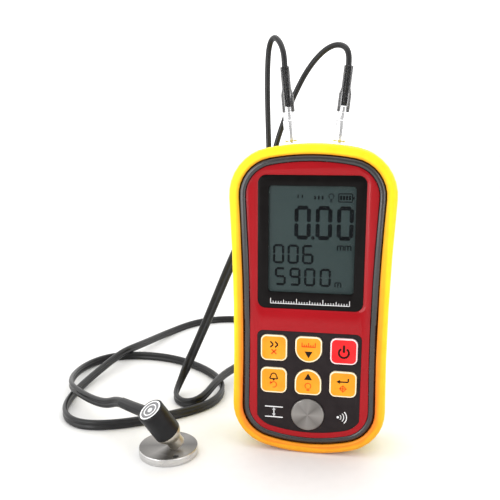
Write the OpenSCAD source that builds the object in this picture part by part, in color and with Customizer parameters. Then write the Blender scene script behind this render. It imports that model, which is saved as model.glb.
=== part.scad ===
// Hand-held ultrasonic thickness gauge: a waisted case in a rubber boot, with
// a keypad, a display, two plugged leads and a contact probe on a steel disc.
// The face looks towards -Y, +Z is up, and the boot's base is at the origin.

/* [Case] */
// Width of the case at its shoulders
case_w = 72; // [66:1:80]
// Height of the case
case_h = 149.2; // [144:0.2:156]
// How far each side draws in at the waist
waist_in = 2.2; // [1:0.1:3.5]
// Height of the waist above the case's lowest point
waist_up = 56; // [50:1:62]
// Radius of the upper corners
top_corner_r = 19; // [17:0.5:21]
// Drop from the crown to the centres of the upper corners
top_corner_drop = 20.6; // [20:0.1:23]
// Radius of the lower corners
low_corner_r = 18; // [16:0.5:19]
// Rise from the lowest point to the centres of the lower corners
low_corner_rise = 20.1; // [19.6:0.1:22]
// Depth from the split line to the crest of the front border
front_depth = 10.8; // [10:0.2:13]
// Depth from the split line to the back of the case
rear_depth = 18; // [17:0.5:22]
// Wall of the case
case_wall = 2; // [1.6:0.1:2.4]
// Width of the black border round the face
border_w = 4; // [3.5:0.1:4.5]
// Height of the step where the upper border stands higher
rim_z = 70.5; // [69:0.5:74]
// How far the upper border stands higher
rim_up = 0.8; // [0.4:0.1:1]

/* [Boot] */
// Wall of the rubber boot
boot_wall = 4.4; // [3.5:0.1:6]
// Width of the flange that grips the back of the case
boot_flange = 12; // [9:0.5:13]
// Thickness of that flange
boot_back = 3; // [2:0.1:4]
// Height of the flat that is pressed into the boot's curved base
boot_flat = 0.25; // [0.1:0.05:0.5]

/* [Face] */
// Thickness of the face panel, the lens and the keypad plate
panel_t = 1.6; // [1.2:0.1:2]
// Width of the display window
window_w = 52; // [46:0.5:53]
// Strip of the face between the window and the keypad
window_strip = 11.6; // [10:0.1:14]
// Drop from the crown to the window's upper edge
window_drop = 10.65; // [10:0.05:12]
// Corner radius of the display window
window_r = 4; // [2:0.5:6]
// Width of the sloping edge round the window
window_bevel = 1.6; // [0.8:0.1:2]
// Depth of the lens below the face
window_sink = 0.7; // [0.3:0.1:0.9]
// Width of the display glass
lcd_w = 45; // [40:0.5:45]
// Mean margin above and below the display glass
lcd_rim = 5.65; // [5.5:0.05:9]
// Height of the glass's middle above the window's middle
lcd_lift = 1.25; // [0:0.05:2]
// Distance from the case's side to the keypad plate
keypad_side = 10; // [9.5:0.5:11]
// Height of the keypad plate's upper edge above the base
keypad_top = 64.8; // [64:0.1:70]

/* [Keys] */
// Width and height of a key
key_size = 13.4; // [11:0.1:14]
// Margin between the plate's side and the outer keys
key_side = 1.8; // [1.4:0.1:2.4]
// Height of the upper row above the base
key_row_1 = 55.9; // [55.5:0.1:56.5]
// Height of the lower row above the base
key_row_2 = 38.6; // [38:0.1:39.5]
// How far a key stands out of the plate
key_proud = 0.5; // [0.3:0.1:1]
// How far a key travels
key_travel = 0.5; // [0.3:0.1:0.6]
// Gap round a key
key_gap = 0.3; // [0.2:0.05:0.4]
// Radius of the steel calibration block
block_r = 8.4; // [7:0.1:8.6]
// Height of the block's middle above the base
block_z = 21.1; // [21:0.1:22]
// How far the block stands out of the plate
block_proud = 1; // [0.4:0.1:2]

/* [Plugs] */
// Angle between each socket and the vertical, about the centre of the crown
socket_angle = 5.9; // [5:0.1:7]
// Distance of the sockets behind the split line
socket_back = 8; // [7:0.5:9]
// Radius of a plug's grip
plug_r = 3.2; // [2.8:0.1:3.6]
// Length of a plug from the case to the end of its tail
plug_l = 22.5; // [20:0.5:24]
// Length of the heat-shrink sleeve on a plug
sleeve_l = 22; // [20:0.5:26]

/* [Batteries] */
// Radius of a cell
cell_r = 5.25; // [5:0.05:5.4]
// Length of a cell
cell_l = 44.5; // [40:0.5:45]
// Height of the cells' middle above the base
cell_z = 54; // [53:0.5:56]

/* [Probe] */
// Radius of the probe's housing
probe_r = 6.8; // [6:0.1:8]
// Length of the probe's housing
probe_l = 16.5; // [14:0.5:18]
// Radius of the steel barrel at its tip
barrel_r = 4.2; // [4:0.1:5]
// Length of the barrel below the housing
barrel_l = 9.5; // [8:0.5:11]
// Lean of the probe from the vertical
probe_lean = 33; // [30:1:40]
// Radius of the steel test disc
disc_r = 15.2; // [13:0.1:18]
// Thickness of the test disc
disc_t = 4; // [3:0.1:6]
// Radius of the small hole in the test disc
disc_hole_r = 1.5; // [1:0.1:2]

/* [Leads] */
// Diameter of a single lead
lead_d = 2.6; // [2:0.1:2.8]

/* [Hidden] */
$fn = 64;

// Clearances
seat_gap = 0.1;
slip_gap = 0.2;
boot_gap = 0.2;

// Outline of the case: two domes, four corners and two waist arcs, all tangent
case_z0 = boot_wall - boot_flat;
case_z1 = case_z0 + case_h;
top_x = case_w / 2 - top_corner_r;
top_z = case_z1 - top_corner_drop;
low_z = case_z0 + low_corner_rise;
waist_z = case_z0 + waist_up;
waist_x = case_w / 2 - waist_in;
crown_r = (top_x ^ 2 + top_corner_drop ^ 2 - top_corner_r ^ 2) / (2 * (top_corner_drop - top_corner_r));
crown_z = case_z1 - crown_r;
waist_a = waist_x - top_x;
waist_r = (waist_a ^ 2 + (top_z - waist_z) ^ 2 - top_corner_r ^ 2) / (2 * (top_corner_r - waist_a));
low_x = waist_r + waist_x - sqrt((waist_r + low_corner_r) ^ 2 - (waist_z - low_z) ^ 2);
base_r = (low_x ^ 2 + low_corner_rise ^ 2 - low_corner_r ^ 2) / (2 * (low_corner_rise - low_corner_r));
base_z = case_z0 + base_r;

// Depths from front to back
split_y = -2;
border_y = split_y - front_depth;
panel_y = border_y + 0.6;
panel_back = panel_y + panel_t;
ledge_w = 8;
board_y = panel_back + 3.6;
board_t = 1.6;
case_back = split_y + rear_depth;
boot_y1 = case_back + boot_back + boot_gap;
boot_y0 = border_y - 0.7;
floor_y = case_back - case_wall;

// Keys
keypad_w = case_w - 2 * keypad_side;
key_pitch = (keypad_w - key_size) / 2 - key_side;
keypad_in = 7;
keypad_r = 3;
key_flange = 0.8;
key_back = panel_back + 1.1;
mat_y = key_back + key_travel + key_gap;

// Display stack
window_h = case_z1 - window_drop - keypad_top - window_strip;
window_z = case_z1 - window_drop - window_h / 2;
lcd_h = window_h - 2 * lcd_rim;
lcd_z = window_z + lcd_lift;
lens_y = panel_y + window_sink;
lcd_gap = 0.3;
lcd_frame_w = 1.6;
lcd_t = 1.5;
lcd_bay_w = lcd_w + 2 * lcd_frame_w + 2 * slip_gap;
lcd_bay_h = lcd_h + 2 * lcd_frame_w + 2 * slip_gap;

// Pieces on the circuit board
chip_w = 18;
chip_t = 1.8;
chip_gap = 5;
driver_w = 7;
crystal_w = 10;
crystal_h = 4;
buzzer_r = 6;
buzzer_t = 5;

// Battery pocket in the rear case
cell_gap = 0.6;
spring_l = 4;
contact_r = 4;
contact_t = 0.5;
pocket_w = 6 * cell_r + 4 * cell_gap;
pocket_h = cell_l + 2 * spring_l + 1.2;
pocket_wall = 1.6;
cover_lap = 2;
cover_foot = 7;
cover_t = 1.2;
cover_w = pocket_w + 2 * cover_lap;
cover_h = pocket_h + cover_lap + cover_foot;
cell_y = floor_y - cell_r - cell_gap;
pocket_y = cell_y - cell_r - cell_gap;
cover_z = cell_z + (cover_lap - cover_foot) / 2;
cover_screw_z = cell_z - pocket_h / 2 - cover_foot / 2;
cover_boss_r = 2.8;
cover_boss_l = 5;
cover_boss_y = floor_y - cover_boss_l;

// Screws
screw_r = 1.25;
screw_head_r = 2.6;
screw_head_t = 1.8;
boss_r = 4.2;
boss_y = board_y + board_t + seat_gap;
boss_bite = 0.8;
low_boss = [low_x + low_corner_r - case_wall - boss_r + boss_bite, low_z];
top_boss = [case_w / 2 - case_wall - boss_r + boss_bite, top_z];
bosses = [low_boss, [-low_boss[0], low_boss[1]], top_boss, [-top_boss[0], top_boss[1]]];

// Sockets and plugs, measured along their axis from the crown
socket_y = split_y + socket_back;
socket_r = 4.2;
socket_up = 1.2;
pin_r = 2.1;
tail_r = 2.6;
tail_l = 1.8;
sleeve_at = plug_l - tail_l - 0.5;
sleeve_t = 0.4;

// Probe: tip, direction and side exit
probe_tip = [-65.4, -25.9, disc_t + seat_gap + barrel_r * sin(probe_lean)];
probe_turn = 221;
disc_at = [-70.6, -24, 0];
relief_up = 21.2;
relief_dir = [-0.74, 0.655, -0.16];
relief_from = 6.2;
relief_to = 36;
relief_r = 3.1;
label_r = probe_r - 0.9;
label_t = 0.6;

// Routes of the leads, chosen by hand
lead_left_route = [
    [-13.7, 6, 175.8], [-14.9, 6, 187.5], [-15.6, 6.2, 194.5], [-16.2, 7.2, 200], [-17.3, 9, 204],
    [-19.2, 11.5, 207.6], [-21.6, 14.3, 209.8], [-23.8, 17, 209], [-25.3, 19.3, 205.6], [-26.1, 21, 200],
    [-26.5, 22.3, 192], [-26.6, 23.4, 182], [-26.4, 24.2, 170], [-26, 24.5, 157], [-26, 24.5, 147]
];
lead_right_route = [
    [13.7, 6, 175.8], [14.9, 6, 187.5], [15.5, 6.2, 194.5], [15.4, 7.4, 199.6], [14.2, 9, 203],
    [11.6, 11.5, 205], [8, 14.2, 205.4], [4, 17, 204], [0, 19.3, 201], [-4, 21, 196.6],
    [-8.4, 22.6, 190], [-13.6, 24, 179.6], [-19, 24.5, 166], [-22.6, 24.5, 153.6], [-23, 24.5, 147]
];
// Route of the twin cable from the probe to the splitter
twin_route = [
    [-99.3, -11.2, 18.7], [-107, -4.2, 16.6], [-113.9, 0.1, 12], [-126.5, 8.3, 9.6], [-141.3, 19.8, 8.8],
    [-152.4, 29.8, 8.6], [-162, 58.8, 4.6], [-160, 86.1, 2.7], [-145.7, 99.3, 2.7], [-119, 102.9, 2.7],
    [-91.1, 94, 2.7], [-64.4, 71.2, 2.7], [-55.9, 47.3, 2.7], [-61.4, 25.5, 2.7], [-83.2, 8.2, 2.7],
    [-106, -5.8, 2.7], [-128.9, -10.6, 2.7], [-144.7, 3.6, 2.7], [-150.7, 31.4, 2.7], [-145.3, 73.7, 6],
    [-140.6, 91.9, 8.8], [-134.7, 108.1, 7.8], [-128.8, 152.4, 2.7], [-112.9, 188.2, 2.7], [-85.1, 205, 2.7],
    [-51.5, 197.3, 2.7], [-25.6, 174.5, 2.7], [-21.7, 146.7, 2.7], [-38.7, 113, 5], [-62.6, 65.1, 9.2],
    [-64.2, 28.6, 6.2], [-75.8, 25.7, 2.7], [-86, 34.9, 2.7], [-86.4, 48.3, 5.2], [-80.4, 55, 21],
    [-66, 46, 51], [-50, 33.5, 87], [-35, 26, 117.5], [-25.6, 24.6, 132.5], [-24.5, 24.5, 142]
];
splitter_at = [-24.5, 24.5, 138];
splitter_h = 13;
splitter_grip = 5;
twin_lie_z = 10;
twin_turn_z = 100;

// Points of an arc in the XZ plane, without its last point
function arc(cx, cz, r, a0, a1, n) =
    [for (i = [0:n - 1]) let (a = a0 + (a1 - a0) * i / n) [cx + r * cos(a), cz + r * sin(a)]];

// Right half of the outline from the base to the crown, moved out by e
function half_outline(e) =
    let (
        base_a = atan2(low_z - base_z, low_x),
        low_a = atan2(waist_z - low_z, waist_r + waist_x - low_x),
        top_a = atan2(waist_z - top_z, waist_r + waist_x - top_x),
        crown_a = atan2(top_z - crown_z, top_x)
    ) concat(
        arc(0, base_z, base_r + e, -90, base_a, 5),
        arc(low_x, low_z, low_corner_r + e, base_a, low_a, 8),
        arc(waist_r + waist_x, waist_z, waist_r - e, 180 + low_a, 180 + top_a, 8),
        arc(top_x, top_z, top_corner_r + e, top_a, crown_a, 8),
        arc(0, crown_z, crown_r + e, crown_a, 90, 5)
    );

// Whole outline, moved out by e
function outline(e) =
    let (half = half_outline(e), n = len(half))
    concat(half, [[0, case_z1 + e]], [for (i = [n - 1:-1:1]) [-half[i][0], half[i][1]]]);

// Side faces between ring a and ring b of n points
function band(a, b, n) =
    [for (j = [0:n - 1]) let (k = (j + 1) % n)
        each [[a * n + j, a * n + k, b * n + k], [a * n + j, b * n + k, b * n + j]]];

// Solid swept round the outline with a closed section of [outset, depth] points
module outline_ring(section) {
    rings = [for (s = section) [for (p = outline(s[0])) [p[0], s[1], p[1]]]];
    n = len(rings[0]);
    m = len(section);
    polyhedron([for (r = rings) each r], [for (i = [0:m - 1]) each band(i, (i + 1) % m, n)], convexity = 6);
}

// Solid skinned over sections of [outset, depth] and closed at both ends
module outline_dish(section) {
    rings = [for (s = section) [for (p = outline(s[0])) [p[0], s[1], p[1]]]];
    n = len(rings[0]);
    m = len(section);
    polyhedron(
        [for (r = rings) each r],
        concat(
            [for (i = [0:m - 2]) each band(i, i + 1, n)],
            [[for (j = [n - 1:-1:0]) j]],
            [[for (j = [0:n - 1]) (m - 1) * n + j]]
        ),
        convexity = 6
    );
}

// Tube along a route, with half width a and half height b, on its edge near the ground
function unit(v) = v / norm(v);
function heading(route, i) =
    unit(route[min(i + 1, len(route) - 1)] - route[max(i - 1, 0)]);
function across(t, p, ref) =
    ref != undef ? unit(cross(t, ref)) :
    let (w = max(0, min(1, (p[2] - twin_lie_z) / (twin_turn_z - twin_lie_z))))
    unit((1 - w) * ([0, 0, 1] - t[2] * t) + w * cross(t, [0, 1, 0]));
module tube(route, a, b, ref) {
    sides = 8;
    m = len(route);
    rings = [for (i = [0:m - 1])
        let (t = heading(route, i), s = across(t, route[i], ref), u = cross(s, t))
        each [for (j = [0:sides - 1])
            route[i] + a * cos(360 * (j + 0.5) / sides) * s + b * sin(360 * (j + 0.5) / sides) * u]];
    polyhedron(
        rings,
        concat(
            [for (i = [0:m - 2]) each band(i + 1, i, sides)],
            [[for (j = [0:sides - 1]) j]],
            [[for (j = [sides - 1:-1:0]) (m - 1) * sides + j]]
        ),
        convexity = 10
    );
}

// Flat shape in XZ given depth from y0 to y1
module slab(y0, y1) {
    translate([0, y1, 0])
        rotate([90, 0, 0])
            linear_extrude(y1 - y0)
                children();
}

// Rectangle with round corners, centred
module soft_rect(w, h, r) {
    square([w, h - 2 * r], center = true);
    square([w - 2 * r, h], center = true);
    for (sx = [-1, 1], sz = [-1, 1])
        translate([sx * (w / 2 - r), sz * (h / 2 - r)])
            circle(r);
}

// Turned shape about the Y axis, with its radius list in [radius, depth]
module turned_y(x, z, profile) {
    translate([x, 0, z])
        rotate([-90, 0, 0])
            rotate_extrude()
                polygon(profile);
}

// Frame of a socket: z runs along its axis from the crown
module at_socket(side) {
    translate([0, socket_y, crown_z])
        rotate([0, side * socket_angle, 0])
            translate([0, 0, crown_r])
                children();
}

// Frame of the probe: z runs from its tip to its label
module at_probe() {
    translate(probe_tip)
        rotate([0, probe_lean, probe_turn])
            children();
}

// Frame of the probe's side exit: z runs along the strain relief
module at_relief() {
    start = probe_tip + relief_up
        * [sin(probe_lean) * cos(probe_turn), sin(probe_lean) * sin(probe_turn), cos(probe_lean)];
    translate(start)
        rotate([0, acos(relief_dir[2] / norm(relief_dir)), atan2(relief_dir[1], relief_dir[0])])
            children();
}

module rubber_boot() {
    inner = -boot_flange;
    lip = -0.6;
    color("gold")
        difference() {
            outline_ring([
                [lip, boot_y0 + 1.5], [lip, boot_y0 + 0.6], [0.2, boot_y0], [boot_wall - 1.8, boot_y0],
                [boot_wall - 0.6, boot_y0 + 0.6], [boot_wall, boot_y0 + 2],
                [boot_wall, boot_y1 - 3.8], [boot_wall - 0.5, boot_y1 - 1.6], [boot_wall - 2, boot_y1 - 0.2],
                [boot_wall - 3.6, boot_y1], [inner + 0.8, boot_y1], [inner, boot_y1 - 0.6],
                [inner, case_back + boot_gap], [-2.9, case_back + boot_gap],
                [-0.7, case_back - 1.2], [boot_gap, case_back - 3.3], [boot_gap, border_y + 3.2],
                [-0.2, border_y + 1.4]
            ]);
            for (side = [-1, 1])
                at_socket(side)
                    translate([0, 0, -1])
                        cylinder(r = socket_r + 0.8, h = boot_wall + 4);
            translate([-case_w, -case_w, -10])
                cube([2 * case_w, 2 * case_w, 10]);
        }
}

// Raised bead on the border above the step
module upper_rim() {
    inner = -border_w + 0.2;
    crest = border_y - rim_up;
    root = border_y + 1.2;
    intersection() {
        outline_ring([
            [inner, root], [inner, crest + 0.6], [inner + 0.4, crest + 0.2], [-2.6, crest],
            [-1.6, crest + 0.3], [-1, crest + 1], [-1, root]
        ]);
        translate([-case_w, crest - 1, rim_z])
            cube([2 * case_w, front_depth, case_h]);
    }
}

module front_case() {
    color("black")
        difference() {
            union() {
                outline_ring([
                    [-case_wall, split_y], [-case_wall, board_y], [-ledge_w, board_y],
                    [-ledge_w, panel_back + seat_gap], [-border_w, panel_back + seat_gap],
                    [-border_w, border_y + 0.8], [-border_w + 0.3, border_y + 0.3], [-3, border_y],
                    [-1.6, border_y + 0.4], [-0.5, border_y + 1.6], [0, border_y + 3.2], [0, split_y]
                ]);
                upper_rim();
                intersection() {
                    for (b = bosses)
                        turned_y(b[0], b[1], [[0, boss_y], [boss_r, boss_y], [boss_r, split_y],
                            [0, split_y]]);
                    slab(border_y, split_y)
                        polygon(outline(-case_wall / 2));
                }
            }
            for (b = bosses)
                turned_y(b[0], b[1], [[0, board_y], [screw_r + 0.05, board_y],
                    [screw_r + 0.05, split_y + 1], [0, split_y + 1]]);
            slab(panel_back, split_y)
                translate([0, lcd_z])
                    square([lcd_bay_w, lcd_bay_h], center = true);
        }
}

module rear_case() {
    color("dimgray")
        difference() {
            union() {
                outline_dish([
                    [-case_wall, floor_y], [-case_wall, split_y], [0, split_y], [0, case_back - 3.5],
                    [-0.9, case_back - 1.4], [-3, case_back]
                ]);
                slab(pocket_y - pocket_wall, floor_y + 0.5)
                    translate([0, cell_z])
                        square([pocket_w + 2 * pocket_wall, pocket_h + 2 * pocket_wall], center = true);
                turned_y(0, cover_screw_z, [[0, cover_boss_y], [cover_boss_r, cover_boss_y],
                    [cover_boss_r, floor_y + 0.5], [0, floor_y + 0.5]]);
                intersection() {
                    for (b = bosses)
                        turned_y(b[0], b[1], [[0, split_y], [boss_r, split_y], [boss_r, floor_y + 0.5],
                            [0, floor_y + 0.5]]);
                    slab(split_y, case_back)
                        polygon(outline(-case_wall / 2));
                }
            }
            slab(pocket_y, case_back + 1)
                translate([0, cell_z])
                    square([pocket_w, pocket_h], center = true);
            slab(case_back - cover_t, case_back + 1)
                translate([0, cover_z])
                    soft_rect(cover_w + 2 * slip_gap, cover_h + 2 * slip_gap, 3);
            turned_y(0, cover_screw_z, [[0, cover_boss_y + 1], [screw_r + 0.05, cover_boss_y + 1],
                [screw_r + 0.05, case_back], [0, case_back]]);
            for (b = bosses)
                turned_y(b[0], b[1], [[0, split_y - 1], [screw_r + 0.15, split_y - 1],
                    [screw_r + 0.15, floor_y - 1], [screw_head_r + 0.2, floor_y - 1],
                    [screw_head_r + 0.2, case_back + 1], [0, case_back + 1]]);
            for (side = [-1, 1])
                at_socket(side)
                    translate([0, 0, -10])
                        cylinder(r = socket_r - 0.8 + seat_gap, h = 14);
        }
}

module keypad_shape(e) {
    intersection() {
        polygon(outline(e - keypad_in));
        soft_rect(keypad_w + 2 * e, 2 * keypad_top + 2 * e, keypad_r);
    }
}

module window_shape(e) {
    translate([0, window_z])
        soft_rect(window_w + 2 * e, window_h + 2 * e, window_r + e);
}

module face_panel() {
    color("crimson")
        difference() {
            slab(panel_y, panel_back)
                difference() {
                    polygon(outline(-border_w - seat_gap));
                    window_shape(seat_gap);
                    keypad_shape(seat_gap);
                }
            hull($fn = 32) {
                slab(panel_y - seat_gap, panel_y)
                    window_shape(window_bevel);
                slab(lens_y, lens_y + seat_gap)
                    window_shape(seat_gap / 2);
            }
        }
}

module display_lens() {
    color("black")
        slab(lens_y, panel_back)
            window_shape(0);
}

module lcd_glass() {
    color("darkslategray")
        slab(panel_back + lcd_gap, panel_back + lcd_gap + lcd_t)
            translate([0, lcd_z])
                square([lcd_w, lcd_h], center = true);
}

module lcd_frame() {
    color("black")
        slab(panel_back + lcd_gap, board_y)
            translate([0, lcd_z])
                difference() {
                    soft_rect(lcd_w + 2 * lcd_frame_w, lcd_h + 2 * lcd_frame_w, 2);
                    square([lcd_w + 2 * seat_gap, lcd_h + 2 * seat_gap], center = true);
                }
}

module lcd_backlight() {
    color("honeydew")
        slab(panel_back + lcd_gap + lcd_t + seat_gap, board_y)
            translate([0, lcd_z])
                square([lcd_w, lcd_h], center = true);
}

// Outlines of the keys: square, shield with a round base, arch with a round head
module key_shape(kind, e) {
    s = key_size + 2 * e;
    r = 3 + e;
    if (kind == "square")
        soft_rect(s, s, r);
    if (kind == "shield" || kind == "arch")
        rotate(kind == "arch" ? 180 : 0) {
            circle(s / 2);
            translate([0, s / 4])
                soft_rect(s, s / 2, r);
            translate([-s / 2, 0])
                square([s, s / 4]);
        }
}

keys = [
    ["key_speed", "square", -1, key_row_1],
    ["key_unit", "shield", 0, key_row_1],
    ["key_power", "square", 1, key_row_1],
    ["key_alarm", "square", -1, key_row_2],
    ["key_up", "arch", 0, key_row_2],
    ["key_enter", "square", 1, key_row_2]
];

module key_place(k) {
    translate([k[2] * key_pitch, k[3]])
        children();
}

module keypad_panel() {
    color("black")
        slab(panel_y, panel_back)
            difference() {
                keypad_shape(0);
                for (k = keys)
                    key_place(k)
                        key_shape(k[1], key_gap);
                translate([0, block_z])
                    circle(block_r + seat_gap);
            }
}

module key(index, tint) {
    k = keys[index];
    color(tint) {
        slab(panel_y - key_proud, panel_back + key_gap)
            key_place(k)
                key_shape(k[1], 0);
        slab(panel_back + key_gap, key_back)
            key_place(k)
                key_shape(k[1], key_flange);
    }
}

module key_mat() {
    color("silver")
        slab(mat_y, board_y)
            translate([0, (key_row_1 + key_row_2) / 2])
                soft_rect(2 * key_pitch + key_size, key_row_1 - key_row_2 + key_size, 3);
}

module calibration_block() {
    chamfer = 0.4;
    front = panel_y - block_proud;
    color("lightsteelblue")
        turned_y(0, block_z, [[0, front], [block_r - chamfer, front], [block_r, front + chamfer],
            [block_r, board_y], [0, board_y]]);
}

module circuit_board() {
    color("darkgreen")
        slab(board_y, board_y + board_t)
            difference() {
                polygon(outline(-case_wall - slip_gap));
                for (b = bosses)
                    translate(b)
                        circle(screw_r + 0.6);
            }
}

module board_chips() {
    back = board_y + board_t;
    low = lcd_z - chip_w * 0.7;
    color("black") {
        translate([-chip_w / 2, back, low])
            cube([chip_w, chip_t, chip_w]);
        translate([-chip_w / 2 - chip_gap - driver_w, back, low + chip_w / 3])
            cube([driver_w, chip_t, driver_w]);
        translate([chip_w / 2 + chip_gap, back, low + chip_w / 3])
            cube([crystal_w, chip_t, crystal_h]);
    }
}

module buzzer() {
    back = board_y + board_t;
    hole_r = buzzer_r * 0.15;
    color("black")
        turned_y(-top_x, top_z, [[hole_r, back + buzzer_t], [hole_r, back + buzzer_t * 0.8],
            [0, back + buzzer_t * 0.8], [0, back], [buzzer_r, back], [buzzer_r, back + buzzer_t]]);
}

module cell_places() {
    for (i = [-1, 0, 1])
        translate([i * (2 * cell_r + cell_gap), cell_y, cell_z])
            rotate([i == 0 ? 180 : 0, 0, 0])
                children();
}

module battery_cells() {
    cap_r = 1.9;
    cap_l = 0.9;
    color("slategray")
        cell_places()
            rotate_extrude()
                polygon([[0, -cell_l / 2], [cell_r, -cell_l / 2], [cell_r, cell_l / 2 - cap_l],
                    [cap_r, cell_l / 2 - cap_l], [cap_r, cell_l / 2], [0, cell_l / 2]]);
}

module battery_contacts() {
    reach = pocket_h / 2 - cell_l / 2;
    root_r = contact_r - contact_t;
    tip_r = contact_r / 2;
    color("silver")
        cell_places() {
            translate([0, 0, -cell_l / 2 - reach])
                rotate_extrude()
                    polygon([[0, 0], [contact_r, 0], [contact_r, contact_t], [root_r, contact_t],
                        [tip_r, reach], [tip_r - contact_t, reach], [root_r - 2 * contact_t, contact_t],
                        [0, contact_t]]);
            translate([0, 0, cell_l / 2])
                rotate_extrude()
                    polygon([[0, 0], [tip_r, 0], [root_r, reach - contact_t], [contact_r, reach - contact_t],
                        [contact_r, reach], [0, reach]]);
        }
}

module battery_cover() {
    grips = 5;
    grip_pitch = 2.4;
    color("black")
        difference() {
            slab(case_back - cover_t, case_back)
                translate([0, cover_z])
                    difference() {
                        soft_rect(cover_w, cover_h, 2.8);
                        for (i = [0:grips - 1])
                            translate([0, cover_h / 2 - 6 - grip_pitch * i])
                                square([14, 0.9], center = true);
                    }
            turned_y(0, cover_screw_z, [[0, floor_y], [screw_r + 0.2, floor_y],
                [screw_r + 0.2, case_back + 1], [0, case_back + 1]]);
        }
}

module cover_screw() {
    root = cover_boss_y + 1.4;
    color("silver")
        turned_y(0, cover_screw_z, [[0, root], [screw_r, root], [screw_r, case_back],
            [screw_head_r, case_back], [screw_head_r - 0.5, case_back + 1.1], [0, case_back + 1.1]]);
}

module case_screws() {
    seat = floor_y - 1;
    color("silver")
        for (b = bosses)
            turned_y(b[0], b[1], [[0, split_y - 2], [screw_r, split_y - 2], [screw_r, seat],
                [screw_head_r, seat], [screw_head_r, seat + screw_head_t], [0, seat + screw_head_t]]);
}

module socket(side) {
    bore = pin_r + slip_gap;
    neck = socket_r - 0.8;
    color("silver")
        at_socket(side)
            rotate_extrude()
                polygon([[bore, -6], [neck, -6], [neck, 0.3], [socket_r, 0.3], [socket_r, socket_up],
                    [bore, socket_up]]);
}

module plug(side) {
    grip = socket_up + slip_gap;
    grip_end = sleeve_at - 0.4;
    color("gainsboro")
        at_socket(side)
            rotate_extrude()
                polygon([[0, -4], [pin_r, -4], [pin_r, grip], [plug_r - 0.4, grip], [plug_r, grip + 0.4],
                    [plug_r, grip + 3], [plug_r - 0.3, grip + 3.4], [plug_r - 0.3, grip + 4.4],
                    [plug_r, grip + 4.8], [plug_r, grip_end - 4], [plug_r - 0.4, grip_end - 3.4],
                    [plug_r - 0.4, grip_end], [tail_r, grip_end], [tail_r, plug_l], [0, plug_l]]);
}

module sleeve(side) {
    end = sleeve_at + sleeve_l;
    foot = tail_r + seat_gap;
    neck = lead_d / 2 + 0.6;
    wide_l = 8.5;
    neck_l = 11.5;
    color("gainsboro")
        at_socket(side)
            rotate_extrude()
                polygon([[foot, sleeve_at], [foot + sleeve_t, sleeve_at],
                    [foot + sleeve_t, sleeve_at + wide_l], [neck + sleeve_t, sleeve_at + neck_l],
                    [neck + sleeve_t, end], [neck, end], [neck, sleeve_at + neck_l],
                    [foot, sleeve_at + wide_l]]);
}

module splitter_section(e) {
    for (s = [-1, 1])
        translate([s * 1.5, 0])
            circle(lead_d / 2 + e);
    square([3, lead_d + 2 * e], center = true);
}

module cable_splitter() {
    color("black")
        translate(splitter_at)
            difference() {
                linear_extrude(splitter_h)
                    splitter_section(1.2);
                translate([0, 0, -1])
                    linear_extrude(splitter_grip + 1)
                        splitter_section(slip_gap);
                for (s = [-1, 1])
                    translate([s * 1.5, 0, splitter_h - splitter_grip])
                        cylinder(r = lead_d / 2 + seat_gap, h = splitter_grip + 1);
            }
}

module lead_left() {
    color("black")
        tube(lead_left_route, lead_d / 2, lead_d / 2, [0.84, 0.54, 0]);
}

module lead_right() {
    color("black")
        tube(lead_right_route, lead_d / 2, lead_d / 2, [0.43, 0.9, 0]);
}

module twin_cable() {
    color("black")
        tube(twin_route, lead_d, lead_d / 2, undef);
}

module probe_strain_relief() {
    color("black")
        at_relief()
            difference() {
                rotate_extrude()
                    polygon([[0, relief_from], [relief_r, relief_from], [relief_r, relief_from + 3],
                        [relief_r - 0.2, relief_to], [0, relief_to]]);
                translate([0, 0, relief_to - splitter_grip])
                    linear_extrude(splitter_grip + 1)
                        circle(lead_d + slip_gap);
            }
}

module probe_housing() {
    edge = 0.5;
    end = barrel_l + probe_l;
    color("black")
        difference() {
            union() {
                at_probe()
                    rotate_extrude()
                        polygon([[0, barrel_l], [probe_r, barrel_l], [probe_r, end - edge],
                            [probe_r - edge, end], [label_r, end], [label_r, end - label_t],
                            [0, end - label_t]]);
                at_relief()
                    cylinder(r = relief_r + 0.8, h = relief_from + 1.4);
            }
            at_relief()
                translate([0, 0, relief_from - seat_gap])
                    cylinder(r = relief_r + seat_gap, h = 10);
            at_probe()
                translate([0, 0, end - label_t])
                    cylinder(r = label_r, h = label_t + 1);
        }
}

module probe_label() {
    color("whitesmoke")
        at_probe()
            translate([0, 0, barrel_l + probe_l - label_t])
                cylinder(r = label_r - seat_gap, h = label_t - seat_gap);
}

module probe_barrel() {
    wall = 1;
    color("tan")
        at_probe()
            rotate_extrude()
                polygon([[barrel_r - wall, 0], [barrel_r, 0], [barrel_r, 4.4], [barrel_r + 0.5, 5],
                    [probe_r - 0.3, 8], [probe_r - 0.3, barrel_l], [barrel_r - wall, barrel_l]]);
}

module delay_line() {
    split = 0.5;
    color("wheat")
        at_probe()
            for (side = [0, 180])
                rotate([0, 0, side])
                    intersection() {
                        cylinder(r = barrel_r - 1 - seat_gap, h = 7);
                        translate([split / 2, -barrel_r, 0])
                            cube([barrel_r, 2 * barrel_r, 7]);
                    }
}

module test_disc() {
    chamfer = 0.3;
    hole_in = 2.9;
    color("silver")
        translate(disc_at)
            difference() {
                rotate_extrude()
                    polygon([[0, 0], [disc_r - chamfer, 0], [disc_r, chamfer], [disc_r, disc_t - chamfer],
                        [disc_r - chamfer, disc_t], [0, disc_t]]);
                rotate([0, 0, -56])
                    translate([disc_r - hole_in, 0, -1])
                        cylinder(r = disc_hole_r, h = disc_t + 2);
            }
}

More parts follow.
